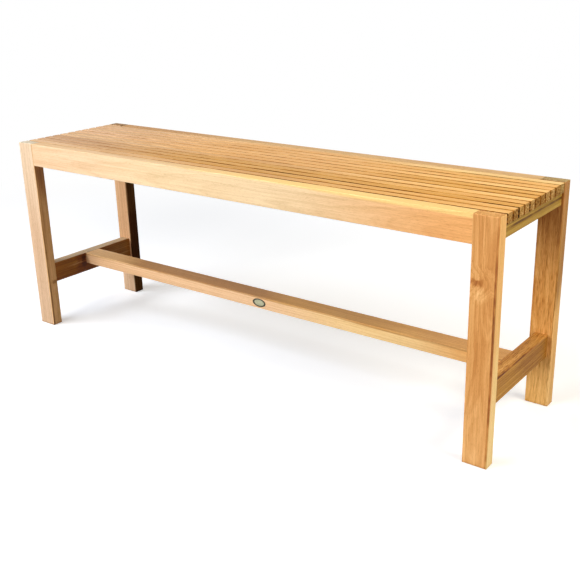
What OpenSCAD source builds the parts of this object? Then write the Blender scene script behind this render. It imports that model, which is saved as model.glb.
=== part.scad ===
// Slatted shower bench in teak. Two long rails and four flat legs make the seat frame, cross
// bearers carry the slats, and a low H of stretchers ties the legs together. Every frame joint
// is a blind mortise and tenon, and the slats are screwed down from below.
// Origin: on the floor, under the middle of the bench. X runs along the seat, the front faces -Y.

/* [Bench] */
// Length of the seat, over the legs
bench_l = 1219; // [800:1:1600]
// Depth of the seat, front to back
bench_d = 305; // [230:1:460]
// Height of the seat above the floor
bench_h = 457; // [380:1:520]
// Radius on the long edges of the frame
frame_ease = 1.5; // [0.5:0.1:3]

/* [Legs and long rails] */
// Width of a leg, along the bench
leg_w = 47.5; // [44:0.5:70]
// Thickness of the legs and long rails, which are flush on both faces
frame_t = 25.5; // [22:0.5:35]
// Height of a long rail
rail_h = 52; // [48:0.5:90]

/* [Bearers] */
// Width of a cross bearer, along the bench
bearer_w = 25.5; // [20:0.5:30]
// Height of a cross bearer
bearer_h = 25.5; // [22:0.5:29]
// How far an end bearer stands in from the ends of the slats
bearer_inset = 5; // [0:0.5:8]

/* [Slats] */
// Width of a slat
slat_w = 19; // [12:0.5:40]
// Thickness of a slat
slat_t = 19; // [16:0.5:22]
// Smallest gap left between two slats
slat_gap_min = 3.5; // [2:0.25:8]
// Radius on the edges of a slat
slat_ease = 2; // [0.5:0.1:3]

/* [Stretchers] */
// Height of the end stretchers' undersides above the floor
stretcher_z = 105; // [60:1:200]
// Thickness of an end stretcher, along the bench
stretcher_t = 27; // [22:0.5:38]
// Height of an end stretcher
stretcher_h = 48; // [36:0.5:70]
// Width of the centre stretcher, front to back
centre_w = 44.5; // [30:0.5:80]
// Height of the centre stretcher, whose top is flush with the end stretchers
centre_h = 27; // [24:0.5:36]

/* [Joints] */
// Thickness of the long rails' tenons
rail_tenon_t = 9; // [6:0.5:14]
// Shoulder above and below the long rails' tenons
rail_shoulder = 8; // [4:0.5:14]
// Thickness of the bearers' tenons
bearer_tenon_t = 12; // [8:0.5:16]
// Shoulder above and below the bearers' tenons
bearer_shoulder = 6; // [3:0.5:8]
// Length of the mid bearers' tenons, into the long rails
bearer_tenon_l = 10; // [6:0.5:14]
// Length of the tenons that enter the legs from the end bearers and end stretchers
leg_tenon_l = 16; // [10:0.5:18]
// Thickness of the stretchers' tenons
stretcher_tenon_t = 13; // [8:0.5:16]
// Shoulder above and below the end stretchers' tenons
stretcher_shoulder = 8; // [4:0.5:12]
// Shoulder on each side of the centre stretcher's tenons
centre_shoulder = 7; // [4:0.5:10]
// Length of the centre stretcher's tenons
centre_tenon_l = 16; // [10:0.5:19]
// Wood left between the two mortises that come close inside each leg
mortise_web = 3; // [2:0.5:6]
// Room for glue all round a tenon
glue_gap = 0.15; // [0.05:0.05:0.4]
// Extra depth of a mortise past its tenon
mortise_spare = 1; // [0.5:0.5:2]

/* [Slat screws] */
// Diameter of a screw's shank
screw_d = 4; // [3:0.5:5]
// Diameter of a screw's pan head
screw_head_d = 8; // [6.5:0.5:10]
// Height of a screw's pan head
screw_head_h = 2.5; // [2:0.5:3]
// How deep the heads sit inside the bearers, measured to the seat of the head
counterbore = 4; // [3.5:0.5:8]
// Length of screw that bites into a slat
screw_bite = 13.5; // [8:0.5:14]
// Clearance round a screw and its head in the bearer
screw_clear = 0.3; // [0.1:0.1:0.8]
// Width of the square drive in the head
drive_w = 2.6; // [2:0.1:3]
// Depth of the square drive
drive_depth = 1.4; // [0.8:0.1:1.8]

/* [Oval plate] */
// Length of the bare oval plate on the centre stretcher
plate_l = 36; // [20:1:60]
// Height of the plate
plate_h = 18.5; // [12:0.5:22]
// Thickness of the plate
plate_t = 1.6; // [1.2:0.1:3]
// Depth of the recess that the plate is glued into
plate_seat = 1; // [0.6:0.1:1.1]
// Width of the plate's raised rim
plate_rim = 1.6; // [1:0.1:3]
// How far the rim stands above the plate's face
rim_rise = 0.4; // [0.2:0.1:0.5]

/* [Hidden] */
half_l = bench_l / 2;
half_d = bench_d / 2;
inner_l = bench_l - 2 * leg_w;
inner_d = bench_d - 2 * frame_t;
frame_y = half_d - frame_t / 2;
leg_x = half_l - leg_w / 2;

rail_z = bench_h - rail_h / 2;
rail_tenon_h = rail_h - 2 * rail_shoulder;

slat_z = bench_h - slat_t;
slat_count = floor((inner_d - slat_gap_min) / (slat_w + slat_gap_min));
slat_gap = (inner_d - slat_count * slat_w) / (slat_count + 1);

bearer_z = slat_z - bearer_h / 2;
bearer_tenon_h = bearer_h - 2 * bearer_shoulder;
end_bearer_x = half_l - bearer_inset - bearer_w / 2;
mid_bearer_x = end_bearer_x / 3;
bearer_xs = [-end_bearer_x, -mid_bearer_x, mid_bearer_x, end_bearer_x];

// a long rail's tenon stops short of the end bearer's tenon, which crosses behind it
rail_tenon_room = end_bearer_x - bearer_tenon_t / 2 - glue_gap - inner_l / 2;
rail_tenon_l = rail_tenon_room - mortise_web - mortise_spare;

stretcher_mid_z = stretcher_z + stretcher_h / 2;
stretcher_tenon_h = stretcher_h - 2 * stretcher_shoulder;
centre_l = 2 * leg_x - stretcher_t;
centre_z = stretcher_z + stretcher_h - centre_h / 2;
centre_tenon_w = centre_w - 2 * centre_shoulder;

screw_l = bearer_h - counterbore + screw_bite;
screw_tip = 3;
pilot_clear = 0.05;
plate_clear = 0.15;
pass = 1;

$fn = 32;

teak_rail = [0.87, 0.68, 0.46];
teak_leg = [0.84, 0.62, 0.39];
teak_slat = [0.86, 0.66, 0.40];
teak_bearer = [0.70, 0.52, 0.31];
teak_stretcher = [0.80, 0.60, 0.40];
steel = [0.75, 0.76, 0.77];
pewter = [0.62, 0.65, 0.58];

function slat_name(i) = str("slat_", i < 10 ? "0" : "", i);
function slat_y(i) = -inner_d / 2 + slat_gap + slat_w / 2 + (i - 1) * (slat_w + slat_gap);
function oval(l, h, steps = 72) =
    [for (i = [0:steps - 1]) [l / 2 * cos(360 * i / steps), h / 2 * sin(360 * i / steps)]];

// --- shapes shared by the boards ---------------------------------------------------------

// section of a board, with its four corners rounded
module eased_section(w, h, r) {
    square([w, h - 2 * r], center = true);
    square([w - 2 * r, h], center = true);
    for (x = [-1, 1], y = [-1, 1])
        translate([x * (w / 2 - r), y * (h / 2 - r)]) circle(r);
}

// board along X: w is its width across Y, h its height
module board_x(l, w, h, r)
    rotate([90, 0, 90]) linear_extrude(l, center = true) eased_section(w, h, r);

// board along Y: w is its width across X, h its height
module board_y(l, w, h, r)
    rotate([90, 0, 0]) linear_extrude(l, center = true) eased_section(w, h, r);

// tenon that leaves the shoulder at X = 0; with a gap and a spare depth it is its mortise
module tenon(l, w, h, gap = 0, spare = 0)
    translate([-pass, -w / 2 - gap, -h / 2 - gap])
        cube([pass + l + spare, w + 2 * gap, h + 2 * gap]);

module mortise(l, w, h) tenon(l, w, h, glue_gap, mortise_spare);

// the same thing at both ends of a board, or on both sides of the bench
module both_ends_x(x) {
    translate([x, 0, 0]) children();
    mirror([1, 0, 0]) translate([x, 0, 0]) children();
}

module both_ends_y(y) {
    translate([0, y, 0]) rotate(90) children();
    mirror([0, 1, 0]) translate([0, y, 0]) rotate(90) children();
}

// --- legs --------------------------------------------------------------------------------

// rear right leg; its inner edge stays square where the long rail butts against it
module leg_blank() {
    intersection() {
        translate([leg_x, frame_y, 0]) {
            linear_extrude(bench_h) eased_section(leg_w, frame_t, frame_ease);
            translate([-leg_w / 2, -frame_t / 2, bench_h - rail_h])
                cube([frame_ease, frame_t, rail_h]);
        }
        translate([leg_x, frame_y, bench_h / 2])
            board_x(leg_w + 2 * pass, frame_t, bench_h, frame_ease);
        translate([leg_x, frame_y, bench_h / 2]) rotate([90, 0, 0])
            linear_extrude(frame_t + 2 * pass, center = true) {
                eased_section(leg_w, bench_h, frame_ease);
                translate([-leg_w / 2, bench_h / 2 - frame_ease]) square(frame_ease);
            }
    }
}

module leg() {
    color(teak_leg) difference() {
        leg_blank();
        translate([inner_l / 2, frame_y, rail_z])
            mortise(rail_tenon_l, rail_tenon_t, rail_tenon_h);
        translate([end_bearer_x, inner_d / 2, bearer_z]) rotate(90)
            mortise(leg_tenon_l, bearer_tenon_t, bearer_tenon_h);
        translate([leg_x, inner_d / 2, stretcher_mid_z]) rotate(90)
            mortise(leg_tenon_l, stretcher_tenon_t, stretcher_tenon_h);
    }
}

module leg_rear_right() leg();
module leg_rear_left() mirror([1, 0, 0]) leg();
module leg_front_right() mirror([0, 1, 0]) leg();
module leg_front_left() mirror([1, 0, 0]) mirror([0, 1, 0]) leg();

// --- long rails --------------------------------------------------------------------------

// rear rail, with a tenon for each leg and a mortise for each mid bearer
module long_rail_rear() {
    color(teak_rail) difference() {
        translate([0, frame_y, rail_z]) {
            board_x(inner_l, frame_t, rail_h, frame_ease);
            both_ends_x(inner_l / 2) tenon(rail_tenon_l, rail_tenon_t, rail_tenon_h);
        }
        for (x = [-mid_bearer_x, mid_bearer_x])
            translate([x, inner_d / 2, bearer_z]) rotate(90)
                mortise(bearer_tenon_l, bearer_tenon_t, bearer_tenon_h);
    }
}

module long_rail_front() mirror([0, 1, 0]) long_rail_rear();

// --- cross bearers under the slats -------------------------------------------------------

module bearer(x, tenon_l) {
    color(teak_bearer) difference() {
        translate([x, 0, bearer_z]) {
            board_y(inner_d, bearer_w, bearer_h, frame_ease);
            both_ends_y(inner_d / 2) tenon(tenon_l, bearer_tenon_t, bearer_tenon_h);
        }
        for (i = [1:slat_count]) translate([x, slat_y(i), bearer_z - bearer_h / 2]) {
            translate([0, 0, -pass])
                cylinder(d = screw_head_d + 2 * screw_clear, h = pass + counterbore);
            cylinder(d = screw_d + 2 * screw_clear, h = bearer_h + pass);
        }
    }
}

module end_bearer_left() bearer(-end_bearer_x, leg_tenon_l);
module end_bearer_right() bearer(end_bearer_x, leg_tenon_l);
module mid_bearer_left() bearer(-mid_bearer_x, bearer_tenon_l);
module mid_bearer_right() bearer(mid_bearer_x, bearer_tenon_l);

// --- slats -------------------------------------------------------------------------------

// one slat, rounded on every edge, with a blind pilot hole over each bearer
module slat(i) {
    color(teak_slat) translate([0, slat_y(i), slat_z]) difference() {
        translate([0, 0, slat_t / 2]) intersection() {
            board_x(bench_l, slat_w, slat_t, slat_ease);
            board_y(slat_w + 2 * pass, bench_l, slat_t, slat_ease);
            linear_extrude(slat_t + 2 * pass, center = true)
                eased_section(bench_l, slat_w, slat_ease);
        }
        for (x = bearer_xs) translate([x, 0, -pass])
            cylinder(d = screw_d + 2 * pilot_clear, h = pass + screw_bite + mortise_spare);
    }
}

// --- stretchers --------------------------------------------------------------------------

// right end stretcher; its top edge stays square where the centre stretcher joins it flush
module end_stretcher_right() {
    color(teak_stretcher) difference() {
        translate([leg_x, 0, stretcher_mid_z]) {
            board_y(inner_d, stretcher_t, stretcher_h, frame_ease);
            translate([-stretcher_t / 2, -centre_w / 2, stretcher_h / 2 - frame_ease])
                cube([frame_ease, centre_w, frame_ease]);
            both_ends_y(inner_d / 2)
                tenon(leg_tenon_l, stretcher_tenon_t, stretcher_tenon_h);
        }
        translate([centre_l / 2, 0, centre_z])
            mortise(centre_tenon_l, centre_tenon_w, stretcher_tenon_t);
    }
}

module end_stretcher_left() mirror([1, 0, 0]) end_stretcher_right();

module centre_stretcher() {
    color(teak_stretcher) difference() {
        translate([0, 0, centre_z]) {
            board_x(centre_l, centre_w, centre_h, frame_ease);
            both_ends_x(centre_l / 2)
                tenon(centre_tenon_l, centre_tenon_w, stretcher_tenon_t);
        }
        translate([0, -centre_w / 2, centre_z]) rotate([90, 0, 0])
            translate([0, 0, -plate_seat]) linear_extrude(plate_seat + pass)
                polygon(oval(plate_l + 2 * plate_clear, plate_h + 2 * plate_clear));
    }
}

// --- fastenings and plate ----------------------------------------------------------------

// pan-head screw, seated at Z = 0 and pointing up
module screw() {
    difference() {
        union() {
            rotate_extrude() polygon([
                [0, -screw_head_h],
                [screw_head_d / 2 - screw_head_h / 2, -screw_head_h],
                [screw_head_d / 2, -screw_head_h / 2],
                [screw_head_d / 2, 0],
                [0, 0]
            ]);
            translate([0, 0, -pass]) cylinder(d = screw_d, h = pass + screw_l - screw_tip);
            translate([0, 0, screw_l - screw_tip])
                cylinder(d1 = screw_d, d2 = screw_d / 4, h = screw_tip);
        }
        translate([-drive_w / 2, -drive_w / 2, -screw_head_h - pass])
            cube([drive_w, drive_w, pass + drive_depth]);
    }
}

module slat_screws() {
    color(steel) for (x = bearer_xs, i = [1:slat_count])
        translate([x, slat_y(i), slat_z - bearer_h + counterbore]) screw();
}

// bare oval plate with a raised rim, glued into its recess on the front of the stretcher
module oval_plate() {
    color(pewter) translate([0, plate_seat - centre_w / 2, centre_z]) rotate([90, 0, 0])
        difference() {
            linear_extrude(plate_t) polygon(oval(plate_l, plate_h));
            translate([0, 0, plate_t - rim_rise]) linear_extrude(pass)
                polygon(oval(plate_l - 2 * plate_rim, plate_h - 2 * plate_rim));
        }
}

leg_front_left();
leg_front_right();
leg_rear_left();
leg_rear_right();
long_rail_front();
long_rail_rear();
end_bearer_left();
end_bearer_right();
mid_bearer_left();
mid_bearer_right();
for (i = [1:slat_count]) slat(i);
end_stretcher_left();
end_stretcher_right();
centre_stretcher();
slat_screws();
oval_plate();
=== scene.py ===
"""A slatted teak shower bench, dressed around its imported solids.

Lengths are in metres, or in mm where a line says so.
"""

import math
import random

import bpy
from mathutils import Matrix, Vector


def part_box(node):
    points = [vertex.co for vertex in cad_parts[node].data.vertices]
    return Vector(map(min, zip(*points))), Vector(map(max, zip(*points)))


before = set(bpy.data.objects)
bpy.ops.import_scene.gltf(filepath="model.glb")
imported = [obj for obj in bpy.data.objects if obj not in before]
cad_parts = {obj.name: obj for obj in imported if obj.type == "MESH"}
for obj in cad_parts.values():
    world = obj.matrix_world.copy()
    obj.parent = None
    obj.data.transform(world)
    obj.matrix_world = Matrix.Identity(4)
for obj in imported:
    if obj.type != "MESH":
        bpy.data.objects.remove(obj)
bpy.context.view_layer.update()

# ---------------------------------------------------------------------------------------------
# The view. The bench is seen from beyond its front right corner, a little above the seat, with
# the lens shifted by 15 pixels of 580 sideways and in height. Angles are in radians.
# ---------------------------------------------------------------------------------------------
eye = Vector((1.14674, -1.39104, 0.83500))
turn = -0.64017
tilt = -0.34135
lean = -0.02057
picture_side = 580
focal_pixels = 869.507
middle_x = 305.0
middle_y = 275.09

ahead = Vector((math.sin(turn) * math.cos(tilt), math.cos(turn) * math.cos(tilt), math.sin(tilt)))
level = Vector((math.cos(turn), -math.sin(turn), 0.0))
above = level.cross(ahead)
aside = math.cos(lean) * level + math.sin(lean) * above
upward = math.cos(lean) * above - math.sin(lean) * level

lens = bpy.data.cameras.new("view")
lens.sensor_width = 36.0
lens.lens = focal_pixels * lens.sensor_width / picture_side
lens.shift_x = (picture_side / 2 - middle_x) / picture_side
lens.shift_y = (middle_y - picture_side / 2) / picture_side
camera = bpy.data.objects.new("view", lens)
bpy.context.scene.collection.objects.link(camera)
rows = (
    (aside.x, upward.x, -ahead.x, eye.x),
    (aside.y, upward.y, -ahead.y, eye.y),
    (aside.z, upward.z, -ahead.z, eye.z),
    (0.0, 0.0, 0.0, 1.0),
)
camera.matrix_world = Matrix(rows)
bpy.context.scene.camera = camera
bpy.context.scene.view_settings.view_transform = "Standard"


# ---------------------------------------------------------------------------------------------
# Legs. Four flat boards of solid teak stood on end with the grain upright, sanded and left
# matt. Their tops are end grain, flush with the seat, and the rails are tenoned into them.
# ---------------------------------------------------------------------------------------------
class Wire:
    """A socket in a material. Arithmetic on it adds Math nodes, and node() adds any other kind."""

    def __init__(self, tree, socket=None):
        self.tree = tree
        self.socket = socket

    def node(self, kind, settings=None, values=None, out=0):
        """Adds a node, sets it up, and then fills its sockets with values and links."""
        made = self.tree.nodes.new(kind)
        for name, value in (settings or {}).items():
            if name == "stops":
                ramp = made.color_ramp.elements
                for element, (position, colour) in zip(ramp, value):
                    element.position = position
                    element.color = colour
            else:
                setattr(made, name, value)
        for name, value in (values or {}).items():
            if isinstance(value, Wire):
                self.tree.links.new(value.socket, made.inputs[name])
            else:
                made.inputs[name].default_value = value
        return Wire(self.tree, made.outputs[out] if made.outputs else None)

    def maths(self, operation, *values):
        return self.node("ShaderNodeMath", {"operation": operation}, dict(enumerate(values)))

    def vector(self, operation, *values, out=0):
        settings = {"operation": operation}
        return self.node("ShaderNodeVectorMath", settings, dict(enumerate(values)), out)

    def length(self):
        return self.vector("LENGTH", self, out="Value")

    def part(self, axis):
        return self.node("ShaderNodeSeparateXYZ", {}, {0: self}, axis)

    def __abs__(self):
        return self.maths("ABSOLUTE", self)

    def __add__(self, other):
        return self.maths("ADD", self, other)

    def __radd__(self, other):
        return self.maths("ADD", other, self)

    def __sub__(self, other):
        return self.maths("SUBTRACT", self, other)

    def __rsub__(self, other):
        return self.maths("SUBTRACT", other, self)

    def __mul__(self, other):
        return self.maths("MULTIPLY", self, other)

    def __rmul__(self, other):
        return self.maths("MULTIPLY", other, self)

    def __truediv__(self, other):
        return self.maths("DIVIDE", self, other)

    def __rtruediv__(self, other):
        return self.maths("DIVIDE", other, self)


def rgb(red, green, blue):
    """The shader's colour for one as a screen shows it, 0 to 255, with the screen's curve undone."""
    parts = []
    for part in (red, green, blue):
        share = part / 255
        parts.append(share / 12.92 if share <= 0.04045 else ((share + 0.055) / 1.055) ** 2.4)
    return (*parts, 1.0)


def smooth(value, low, high):
    """0 below low, 1 above high, and an eased rise between them."""
    limits = {"Value": value, "From Min": low, "From Max": high}
    return value.node("ShaderNodeMapRange", {"interpolation_type": "SMOOTHSTEP"}, limits)


def noise(place, run, width, detail, seed, out=0):
    """Noise around 0.5, drawn out along the grain, run mm long and width mm wide.

    place is (along, side, other) in mm, and each seed reads the noise somewhere else.
    """
    scale = (1 / run, 1 / width, 1 / width)
    shift = (seed * 7.31, seed * 3.17, seed * 5.73)
    spot = place.vector("MULTIPLY_ADD", place, scale, shift)
    values = {"Vector": spot, "Scale": 1.0, "Detail": detail, "Roughness": 0.55}
    return place.node("ShaderNodeTexNoise", {}, values, out)


def mix(factor, first, second):
    """The first colour where factor is 0, and the second where it is 1."""
    # a Mix node takes its colours at sockets 6 and 7, and gives one at 2
    return factor.node("ShaderNodeMix", {"data_type": "RGBA"}, {0: factor, 6: first, 7: second}, 2)


def begin(name):
    """An empty material, and the wire that its nodes start from."""
    material = bpy.data.materials.new(name)
    material.use_nodes = True
    material.node_tree.nodes.clear()
    return material, Wire(material.node_tree)


mm_per_metre = 1000.0


def measure(start, node):
    """The place on a node in mm from its middle, and half the node's size in mm."""
    low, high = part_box(node)
    middle = (low + high) / 2 * mm_per_metre
    half = (high - low) / 2 * mm_per_metre
    spot = start.node("ShaderNodeTexCoord", out="Object")
    place = start.vector("MULTIPLY_ADD", spot, (mm_per_metre,) * 3, -middle)
    return place, half


def dress(node, material, start, surface):
    """Ends a material in a shader with the sockets in surface, and puts it on a node."""
    shaded = start.node("ShaderNodeBsdfPrincipled", {}, surface)
    start.node("ShaderNodeOutputMaterial", {}, {"Surface": shaded})
    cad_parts[node].data.materials[0] = material


bare_end = rgb(190, 156, 108)


def teak(
    board, grain, wood, heart, seed,
    ring=4.6, figure=1.0, askew=None, knot=None, vein=None, flecks=0.0,
    ends=0.35, speckle=1.6, butt=bare_end, foot=0.0, sides=None,
    far=None, bands=(), gloss=0.45,
):
    """Dresses a board in teak of the colour wood, darker or paler by depth.

    A place on it is (along, side, other) in mm from its middle, with along the way of the grain.
    grain      the axis that the grain runs along
    heart      the middle of the log, as (side, other)
    seed       gives the board its own places in the noise
    ring       the width of a year's growth in mm
    figure     how strongly the log's figure shows
    askew      how far the log's middle moves for each mm along, as (side, other)
    knot       its place and size, (along, side, other, size)
    vein       a dark line with the grain, (side, other, width, top, bottom), gone above top
    flecks     how dark the short flecks in the heartwood are
    ends       how dark the end grain is, with speckle for how uneven and butt for its colour
    foot       how dark the last few mm at the floor are
    sides      how dark the side faces are painted, as shade with a little dirt, at the low and at the high end
    far        a colour that takes over along the board, (colour, begins, done)
    bands      colours that take over in part of it, (colour, limit, ...), where a limit is
               (line, edge, inside, slant): none of the colour at edge and all of it at inside,
               and slant leans the limit by so many mm for each mm along
    gloss      how strongly the surface shines
    """
    axes = {"x": "XYZ", "y": "YXZ", "z": "ZXY"}[grain]
    material, start = begin("teak_" + board)
    here, half = measure(start, board)
    facing = start.node("ShaderNodeTexCoord", out="Normal")
    along, side, other = (here.part(axis) for axis in axes)
    lines = {"along": along, "side": side, "other": other}
    place = start.node("ShaderNodeCombineXYZ", {}, {0: along, 1: side, 2: other})
    half_length = half["XYZ".index(axes[0])]

    # fibres, soft clouds of heartwood, and open pores drawn along the grain
    fibre = noise(place, run=150, width=1.3, detail=3.0, seed=seed + 2.9)
    streak = noise(place, run=300, width=5.0, detail=2.0, seed=seed + 4.1)
    cloud = noise(place, run=260, width=26, detail=2.0, seed=seed + 5.3)
    pore = smooth(noise(place, run=8, width=0.42, detail=1.0, seed=seed + 6.7), 0.58, 0.72)
    depth = ((cloud - 0.5) * 0.6 + (streak - 0.5) * 0.5) * figure
    depth = depth + (fibre - 0.5) * 0.8 + pore * 0.45

    # the log's middle runs askew to the board and wanders, so its years surface as long arcs
    chance = random.Random(seed)
    any_way = (chance.uniform(-0.02, 0.02), chance.uniform(-0.02, 0.02))
    to_side, to_other = askew or any_way
    offset = {1: along * to_side - heart[0], 2: along * to_other - heart[1]}
    wander_reach = (0.0, 26.0, 26.0)
    wander = noise(place, run=420, width=150, detail=1.0, seed=seed + 0.3, out="Color")
    wander = start.vector("SUBTRACT", wander, (0.5, 0.5, 0.5))
    from_heart = start.node("ShaderNodeCombineXYZ", {}, offset)
    from_heart = start.vector("MULTIPLY_ADD", wander, wander_reach, from_heart)
    from_heart = start.vector("MULTIPLY_ADD", place, (0.0, 1.0, 1.0), from_heart)
    waver = noise(place, run=48, width=9, detail=2.0, seed=seed + 1.7)
    years = from_heart.length() / ring + waver * 0.5

    # the years bend round a knot, its core is dark, and a pale bulge lies below it
    if knot:
        *knot_place, size = knot
        stir = noise(place, run=9, width=5, detail=2.0, seed=seed + 7.7, out="Color")
        stir = start.vector("SUBTRACT", stir, (0.5, 0.5, 0.5))
        away = start.vector("SUBTRACT", place, tuple(knot_place))
        away = start.vector("MULTIPLY_ADD", stir, (1.6 * size, 1.1 * size, size), away)
        from_knot = start.vector("MULTIPLY", away, (1.25, 0.75, 0.6)).length()
        years = years + (1 - smooth(from_knot, 0.0, 3.5 * size)) * 1.6
        depth = depth + (1 - smooth(from_knot, 0.3 * size, size)) * 0.85
        below = start.vector("ADD", away, (1.9 * size, -0.9 * size, 0.0))
        from_bulge = start.vector("MULTIPLY", below, (0.8, 0.9, 0.6)).length()
        depth = depth - (1 - smooth(from_bulge, 0.5 * size, 1.1 * size)) * 0.3

    # a year darkens slowly into its late wood and ends sharply, and some years are darker
    age = start.maths("FRACT", years)
    late = smooth(age, 0.3, 0.86) * (1 - smooth(age, 0.86, 1.0))
    by_year = {"W": years * 0.8 + seed, "Detail": 1.0}
    luck = start.node("ShaderNodeTexNoise", {"noise_dimensions": "1D"}, by_year)
    depth = depth + (luck - 0.5) * 0.3 * figure + (late - 0.3) * 0.15 * figure

    # a vein swings by a mm to each side, and is broken up along its run
    if vein:
        vein_side, vein_other, width, top, bottom = vein
        swing = noise(place, run=200, width=200, detail=1.0, seed=seed + 8.1, out="Color")
        vein_middle = (0.0, -1.0 - vein_side, -1.0 - vein_other)
        swing = start.vector("MULTIPLY_ADD", swing, (0.0, 2.0, 2.0), vein_middle)
        across = start.vector("MULTIPLY", start.vector("ADD", place, swing), (0.0, 1.0, 1.0))
        core = 1 - smooth(across.length(), 0.4 * width, width)
        ragged = smooth(noise(place, run=60, width=40, detail=2.0, seed=seed + 9.3), 0.3, 0.6)
        depth = depth + core * (1 - smooth(along, bottom, top)) * (0.5 + ragged * 0.9)

    # flecks lie in the clouds of heartwood, and hardly show on the sawn sides
    end = smooth(abs(facing.part(axes[0])), 0.55, 0.85)
    flank = smooth(abs(facing.part(axes[1])), 0.4, 0.75)
    if flecks:
        dash = smooth(noise(place, run=20, width=1.1, detail=1.5, seed=seed + 10.1), 0.48, 0.68)
        depth = depth + (dash - 0.1) * smooth(cloud, 0.25, 0.6) * (1 - flank * 0.8) * flecks

    # the nearest edge is as far off as the second nearest face, and the eased edges are paler,
    # partly wear and partly painted highlight where they catch the light
    depths_in = [reach - abs(here.part(axis)) for axis, reach in zip("XYZ", half)]
    nearer = start.maths("MINIMUM", depths_in[0], depths_in[1])
    farther = start.maths("MAXIMUM", depths_in[0], depths_in[1])
    from_edge = start.maths("MAXIMUM", nearer, start.maths("MINIMUM", farther, depths_in[2]))
    edge_wear_and_highlight = (1 - smooth(from_edge, 0.3, 2.2)) * smooth(streak, 0.3, 0.6)

    # end grain drinks more oil, and the side faces are darkened as painted shade in the gaps and
    # under the seat, with a little dirt
    crumb = noise(place, run=6, width=3.2, detail=2.0, seed=seed + 12.3)
    depth = depth + end * (ends + (crumb - 0.5) * speckle) - edge_wear_and_highlight * 0.12
    if foot:
        depth = depth + (1 - smooth(along + half_length, 0.5, 6.0)) * foot
    if sides:
        low_end, high_end = sides
        side_shade_and_dirt = smooth(along, -half_length, half_length) * (high_end - low_end) + low_end
        patchy = smooth(noise(place, run=90, width=8, detail=2.0, seed=seed + 11.9), 0.3, 0.7)
        depth = depth + flank * side_shade_and_dirt * (0.45 + patchy)

    # the colours that take over drift a few mm with the grain, and depth then darkens them all
    colour = wood
    if far:
        far_wood, begins, done = far
        colour = mix(smooth(along + (cloud - 0.5) * 120, begins, done), colour, far_wood)
    drift = (streak - 0.5) * 5 + (cloud - 0.5) * 8
    for shade, *limits in bands:
        share = 1
        for line, edge, inside, *slant in limits:
            share = share * smooth(lines[line] + along * sum(slant) + drift, edge, inside)
        colour = mix(share, colour, shade)
    colour = mix(end * 0.45, colour, butt)
    colour = start.node("ShaderNodeGamma", {}, {0: colour, 1: 1 + depth * 0.55})
    dimming = {0: colour, "Scale": 1 - depth * 0.42}
    colour = start.node("ShaderNodeVectorMath", {"operation": "SCALE"}, dimming)

    relief = fibre * 0.5 + late * 0.25 - pore * 1.2
    bump = {"Strength": 0.3, "Distance": 0.0002, "Height": relief}
    surface = {
        "Base Color": colour,
        "Roughness": 0.5 + fibre * 0.14 + end * 0.1 - edge_wear_and_highlight * 0.08,
        "Normal": start.node("ShaderNodeBump", {}, bump),
        "Specular IOR Level": gloss,
    }
    dress(board, material, start, surface)


cream = rgb(214, 174, 136)
linen = rgb(226, 195, 160)
fawn = rgb(240, 194, 138)
painted_shade_umber = rgb(202, 148, 90)
painted_sheen_silvery = rgb(216, 217, 197)
rose = rgb(225, 176, 130)
shell = rgb(238, 197, 158)
# the next two colours are painted shade, for the rear left leg's inner face under the seat
painted_shade_brown = rgb(76, 46, 18)
painted_shade_deep = rgb(60, 29, 8)
painted_sheen_ashen = rgb(123, 112, 84)
amber = rgb(221, 156, 86)
painted_light_syrup = rgb(238, 176, 107)
sandy = rgb(236, 184, 112)
gold = rgb(255, 221, 155)
caramel = rgb(209, 157, 84)
ochre = rgb(223, 161, 86)
painted_shade_chestnut = rgb(162, 102, 44)
painted_light_wheat = rgb(244, 187, 109)
hay = rgb(174, 123, 53)
flax = rgb(250, 200, 128)
olive_grey = rgb(193, 188, 131)

# this leg's pale cream, paler still at the top, is partly painted sheen
teak(
    "leg_front_left", "z", cream, (-60, 90), 1, figure=0.7,
    knot=(-118, 23.7, 5, 7), vein=(23.7, -9.5, 2.8, 200, -200), flecks=0.25,
    # the grey of this leg's end-grain top is painted sheen
    ends=0.1, butt=painted_sheen_silvery, foot=0.5, sides=(0.36, 0.44),
    bands=[
        (linen, ("along", -20, 210)),
        (fawn, ("side", 19, 22)),
        # painted shade: the inner face darkens towards its top, under the seat
        (painted_shade_umber, ("side", 23, 27, 0.02)),
    ],
)
teak(
    "leg_rear_left", "z", rose, (50, 80), 2,
    # the grey of this leg's end-grain top is painted sheen
    ends=0.25, butt=painted_sheen_ashen, foot=0.4, gloss=0.03,
    # the inner face is painted dark as shade under the seat, and darkest in its lower middle
    bands=[
        (shell, ("along", -110, -200)),
        (painted_shade_brown, ("side", 17, 21)),
        (painted_shade_deep, ("side", 17, 21), ("along", 15, -15), ("along", -160, -110)),
    ],
)
teak(
    "leg_front_right", "z", amber, (8, 58), 3, figure=1.5,
    # the vein at the front right arris is a painted dark line, shade where the eased edge faces away
    # from the lamps
    knot=(113, -13, -12.7, 12), vein=(22.5, -12.8, 3.5, 400, 0),
    ends=0.05, butt=caramel, foot=0.3, gloss=0.35,
    bands=[
        # painted light: the leg grows paler towards its foot
        (painted_light_syrup, ("along", 20, -220)),
        (sandy, ("side", 21.8, 23.4)),
        (gold, ("side", 23, 26, -0.014)),
    ],
)
teak(
    "leg_rear_right", "z", ochre, (-20, 60), 4, figure=1.5, flecks=0.8,
    ends=0.05, butt=olive_grey, foot=0.4, gloss=0.25,
    bands=[
        # painted shade darkens the top under the seat, and painted light makes the foot paler
        (painted_shade_chestnut, ("along", 20, 220)),
        (painted_light_wheat, ("along", 0, -200)),
        (hay, ("side", 21.5, 23.4)),
        (flax, ("side", 23, 27, -0.03)),
    ],
)

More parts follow.
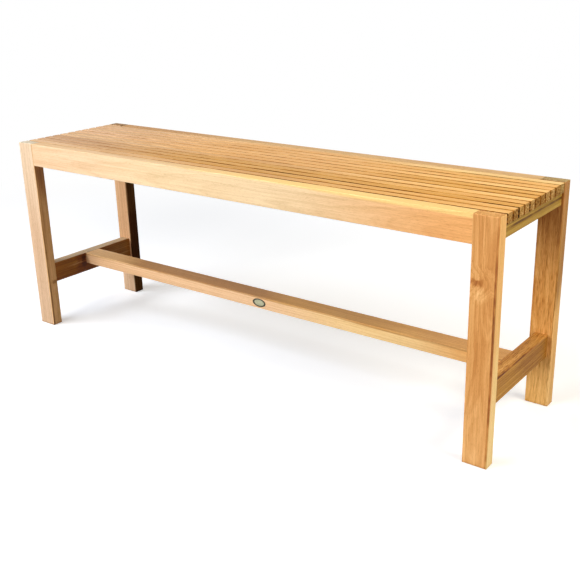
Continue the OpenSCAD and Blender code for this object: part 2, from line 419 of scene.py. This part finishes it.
# ---------------------------------------------------------------------------------------------
# Long rails. Two teak boards tenoned between the legs, flush with them in front, behind and on
# top. The front one keeps yellow sapwood along its top edge and warms towards the right.
# ---------------------------------------------------------------------------------------------
peach = rgb(235, 194, 151)
vanilla = rgb(240, 206, 158)
tangerine = rgb(238, 169, 97)
biscuit_top = rgb(225, 184, 134)
sapwood = rgb(255, 212, 132)
sand = rgb(209, 165, 106)
dusky = rgb(190, 139, 80)
honeycomb = rgb(230, 172, 108)

# the rail is paler and less saturated towards the left, partly as painted sheen
teak(
    "long_rail_front", "x", peach, (52, -8), 5, ring=5.2, figure=0.65, askew=(0.03, 0.012),
    far=(vanilla, -500, -100),
    bands=[
        (tangerine, ("along", 150, 570)),
        (biscuit_top, ("other", 24.2, 25.8)),
        (sapwood, ("other", 22, 29, 0.014)),
    ],
)
teak(
    "long_rail_rear", "x", sand, (-60, 30), 6,
    bands=[
        (dusky, ("along", -100, -400)),
        (honeycomb, ("side", 9.5, 11.5)),
    ],
)

# ---------------------------------------------------------------------------------------------
# Bearers. Square teak bars across the bench under the slats, tenoned into the legs at the ends
# and into the long rails between them. The slats' screws come up through them.
# ---------------------------------------------------------------------------------------------
olive = rgb(175, 139, 59)
cocoa = rgb(184, 130, 70)

teak("end_bearer_left", "y", cocoa, (60, 40), 7)
teak(
    "end_bearer_right", "y", olive, (70, 30), 8, figure=1.7,
    vein=(13.0, 3.0, 3.2, 400, 200), gloss=0.15,
)
teak("mid_bearer_left", "y", cocoa, (-50, 60), 9)
teak("mid_bearer_right", "y", cocoa, (40, -70), 10)

# ---------------------------------------------------------------------------------------------
# Slats. Eleven square teak strips the length of the bench, ripped from different boards, so no
# two match. Their sides are darkened as painted shade in the gaps, with a little dirt, and their
# ends are cut flush with the legs.
# ---------------------------------------------------------------------------------------------
pearl = rgb(234, 191, 149)
oat = rgb(225, 185, 142)
hazel = rgb(206, 165, 126)
honey = rgb(241, 189, 127)
tan = rgb(226, 177, 119)
toast = rgb(217, 165, 97)
straw = rgb(254, 202, 129)
butter = rgb(255, 215, 149)
maize = rgb(242, 187, 113)
apricot = rgb(234, 178, 99)
oiled_end = rgb(141, 129, 92)

# the colours of each slat at its left end, in its middle and at its right end, front slat first;
# the left colours are paler and cooler, partly as painted sheen
slat_woods = (
    (oat, tan, maize),
    (hazel, toast, maize),
    (hazel, toast, apricot),
    (hazel, toast, maize),
    (oat, tan, straw),
    (oat, honey, apricot),
    (pearl, honey, apricot),
    (pearl, honey, straw),
    (oat, honey, maize),
    (pearl, honey, maize),
    (oat, honey, butter),
)
draw = random.Random(11)
for number, (left_wood_and_sheen, middle_wood, right_wood) in enumerate(slat_woods, 1):
    turned = draw.uniform(0, 2 * math.pi)
    off_middle = draw.uniform(40, 100)
    log_middle = (off_middle * math.cos(turned), off_middle * math.sin(turned))
    growth = draw.uniform(3.4, 5.4)
    teak(
        "slat_%02d" % number, "x", left_wood_and_sheen, log_middle, 20 + number, ring=growth,
        ends=draw.uniform(0.33, 0.92), speckle=3.6, butt=oiled_end, gloss=0.05,
        sides=(draw.uniform(0.3, 0.7), draw.uniform(1.1, 1.9)),
        far=(middle_wood, -560, -60), bands=[(right_wood, ("along", 60, 460))],
    )

# ---------------------------------------------------------------------------------------------
# Stretchers. A teak board on edge between the legs at each end, tenoned into them, and one laid
# flat between those two and tenoned into their middles, its top flush with theirs.
# ---------------------------------------------------------------------------------------------
cinnamon = rgb(206, 156, 102)
painted_sheen_driftwood = rgb(200, 170, 130)
painted_shade_inner = rgb(151, 92, 25)
painted_shade_joint = rgb(125, 66, 12)
russet = rgb(181, 129, 47)
painted_shadow_tobacco = rgb(166, 113, 36)
bronze = rgb(192, 136, 64)
biscuit = rgb(240, 192, 143)
shortbread = rgb(255, 214, 149)
ginger = rgb(245, 179, 100)
painted_shade_nutmeg = rgb(188, 133, 72)
almond = rgb(223, 174, 113)
malt = rgb(216, 160, 86)
copper = rgb(199, 146, 80)

teak(
    # the inner face is painted dark as shade under the bench, darkest just before the centre
    # stretcher's joint, where the knot's dark core also stands for that shade
    "end_stretcher_left", "y", cinnamon, (40, 90), 12, knot=(-30, 13.5, 6, 14), gloss=0.25,
    bands=[
        # the grey of this top face is painted sheen
        (painted_sheen_driftwood, ("other", 21.5, 23.4)),
        (painted_shade_inner, ("side", 11, 12.8)),
        (painted_shade_joint, ("side", 11, 12.8), ("along", -65, -42), ("along", 10, -10)),
    ],
)
teak(
    # the rear part is painted darker as the rear leg's shadow, and the vein along the outer top
    # arris is painted shade under the eased edge
    "end_stretcher_right", "y", russet, (-16, -44), 13, figure=1.8,
    vein=(13.4, 24, 2.6, 120, -40), flecks=1.0, gloss=0.25,
    far=(painted_shadow_tobacco, -20, 60), bands=[(bronze, ("other", 20, 23))],
)
teak(
    "centre_stretcher", "x", biscuit, (-50, 60), 14,
    bands=[
        (shortbread, ("along", 0, 280)),
        (ginger, ("along", 350, 540)),
        # painted shade: the top face, under the seat, is darker than the front, and the three
        # lighter patches after it change that along its length
        (painted_shade_nutmeg, ("other", 9, 12)),
        (almond, ("along", -360, -470), ("other", 9, 12)),
        (malt, ("along", -30, 90), ("other", 9, 12)),
        (copper, ("along", 360, 440), ("other", 9, 12)),
    ],
)


# ---------------------------------------------------------------------------------------------
# Slat screws. Stainless pan-head screws with a square drive, driven up through the bearers, so
# that only their heads show, inside the counterbores.
# ---------------------------------------------------------------------------------------------
def metal(node, dull, bright, brush, roughness, metallic, rim=None):
    """Dresses a node in satin metal, brushed along X in strokes brush mm long.

    rim is the colour of the raised rim round an oval node, and only such a node has one.
    """
    material, start = begin(node)
    place, half = measure(start, node)
    scratch = noise(place, run=brush, width=0.15, detail=3.0, seed=1.0)
    cloud = noise(place, run=5, width=5, detail=2.0, seed=2.0)
    stops = {"stops": ((0.25, dull), (0.75, bright))}
    colour = start.node("ShaderNodeValToRGB", stops, {0: scratch * 0.5 + cloud * 0.5}, "Color")
    if rim:
        across = place.part("X") / half.x
        up = place.part("Z") / half.z
        from_middle = start.maths("SQRT", across * across + up * up)
        colour = mix(smooth(from_middle, 0.7, 0.78) * 0.95, colour, rim)
    bump = {"Strength": 0.2, "Distance": 0.00005, "Height": scratch}
    surface = {
        "Base Color": colour,
        "Metallic": metallic,
        "Roughness": roughness + scratch * 0.2,
        "Normal": start.node("ShaderNodeBump", {}, bump),
    }
    dress(node, material, start, surface)


steel_shade = rgb(168, 170, 172)
steel_shine = rgb(206, 208, 210)

metal("slat_screws", steel_shade, steel_shine, brush=3.0, roughness=0.26, metallic=1.0)

# ---------------------------------------------------------------------------------------------
# Oval plate. A bare metal oval let into the middle of the centre stretcher's front face, satin
# on its face and darkened on its raised rim.
# ---------------------------------------------------------------------------------------------
plate_shade = rgb(138, 138, 112)
plate_shine = rgb(184, 182, 152)
dark_rim = rgb(50, 48, 38)

metal(
    "oval_plate", plate_shade, plate_shine,
    brush=14.0, roughness=0.36, metallic=0.75, rim=dark_rim,
)

# ---------------------------------------------------------------------------------------------
# Floor. A plain white floor that keeps the bench's soft shadow and fades to pure white further
# out. It glows a little of itself, and throws only a grey share of the light back up.
# ---------------------------------------------------------------------------------------------
floor_reach = 14.0
floor_level = -0.0003
floor_glow = 0.38
floor_white = (0.84, 0.84, 0.84, 1.0)
floor_grey = (0.16, 0.16, 0.16, 1.0)
white = (1.0, 1.0, 1.0, 1.0)
fade_begins = 1.2
fade_done = 2.1

# behind the bench's left end a soft round patch of the floor is a little dimmer, a painted shadow
painted_shadow_middle = (-0.85, 0.68, 0.0)
painted_shadow_share = 0.13
painted_shadow_full = 0.05
painted_shadow_gone = 0.75

corners = []
for x, y in ((-1, -1), (1, -1), (1, 1), (-1, 1)):
    corners.append((x * floor_reach, y * floor_reach, floor_level))
floor_mesh = bpy.data.meshes.new("floor")
floor_mesh.from_pydata(corners, [], [(0, 1, 2, 3)])
floor = bpy.data.objects.new("floor", floor_mesh)
bpy.context.scene.collection.objects.link(floor)


def shown(start):
    """1 on the rays that see the room, straight or in gloss, and 0 on those that light it."""
    straight = start.node("ShaderNodeLightPath", out="Is Camera Ray")
    shiny = start.node("ShaderNodeLightPath", out="Is Glossy Ray")
    through = start.node("ShaderNodeLightPath", out="Is Transmission Ray")
    return start.maths("MAXIMUM", straight, start.maths("MAXIMUM", shiny, through))


paint, ground = begin("floor")
spread = ground.node("ShaderNodeTexCoord", out="Object")
from_bench = spread.length()
from_painted_shadow = ground.vector("SUBTRACT", spread, painted_shadow_middle).length()
painted_shadow_mix = painted_shadow_share - smooth(from_painted_shadow, painted_shadow_full, painted_shadow_gone) * painted_shadow_share

glow = ground.node("ShaderNodeEmission", {}, {"Color": white, "Strength": floor_glow})
matt = ground.node("ShaderNodeBsdfDiffuse", {}, {"Color": floor_white})
near = ground.node("ShaderNodeAddShader", {}, {0: glow, 1: matt})
near = ground.node("ShaderNodeMixShader", {}, {0: painted_shadow_mix, 1: near})
afar = ground.node("ShaderNodeEmission", {}, {"Color": white, "Strength": 1.0})
fade = smooth(from_bench, fade_begins, fade_done)
seen = ground.node("ShaderNodeMixShader", {}, {0: fade, 1: near, 2: afar})
unseen = ground.node("ShaderNodeBsdfDiffuse", {}, {"Color": floor_grey})
both = ground.node("ShaderNodeMixShader", {}, {0: shown(ground), 1: unseen, 2: seen})
ground.node("ShaderNodeOutputMaterial", {}, {"Surface": both})
floor_mesh.materials.append(paint)

# ---------------------------------------------------------------------------------------------
# Room and lamps. A white room that gives almost no light of its own, and large soft boxes at
# the left, before the bench, at its right end and, out of sight in gloss, behind it.
# ---------------------------------------------------------------------------------------------
room_light = 0.045

room = bpy.data.worlds.new("room")
room.use_nodes = True
room.node_tree.nodes.clear()
bpy.context.scene.world = room
air = Wire(room.node_tree)
strength = room_light + shown(air) * (1 - room_light)
sky = air.node("ShaderNodeBackground", {}, {"Color": white, "Strength": strength})
air.node("ShaderNodeOutputWorld", {}, {"Surface": sky})


def lamp(name, place, target, size, watts, colour, shines=True):
    """A soft box of (width, height) that faces target, and shows in gloss only if it shines."""
    light = bpy.data.lights.new(name, "AREA")
    light.shape = "RECTANGLE"
    light.size, light.size_y = size
    light.energy = watts
    light.color = colour
    box = bpy.data.objects.new(name, light)
    box.visible_glossy = shines
    bpy.context.scene.collection.objects.link(box)
    aim = (Vector(target) - Vector(place)).to_track_quat("-Z", "Y")
    box.matrix_world = Matrix.Translation(Vector(place)) @ aim.to_matrix().to_4x4()


daylight = (0.90, 0.96, 1.08)
neutral = (0.98, 1.0, 1.02)
warm = (1.0, 0.93, 0.80)

lamp("left_box", (-1.8, -1.3, 2.2), (-0.2, 0.0, 0.3), (1.2, 1.2), 44, daylight)
lamp("front_box", (-0.9, -2.4, 1.2), (-0.2, 0.0, 0.3), (1.4, 1.2), 56, neutral)
lamp("right_box", (2.0, 0.0, 2.0), (0.3, 0.0, 0.4), (1.2, 1.0), 40, warm)
lamp("end_box", (1.8, -0.9, 0.25), (0.6, 0.0, 0.1), (0.8, 0.5), 8.5, warm)
lamp("back_box", (-0.4, 2.6, 0.8), (0.0, 0.0, 0.3), (1.6, 0.8), 22, neutral, shines=False)
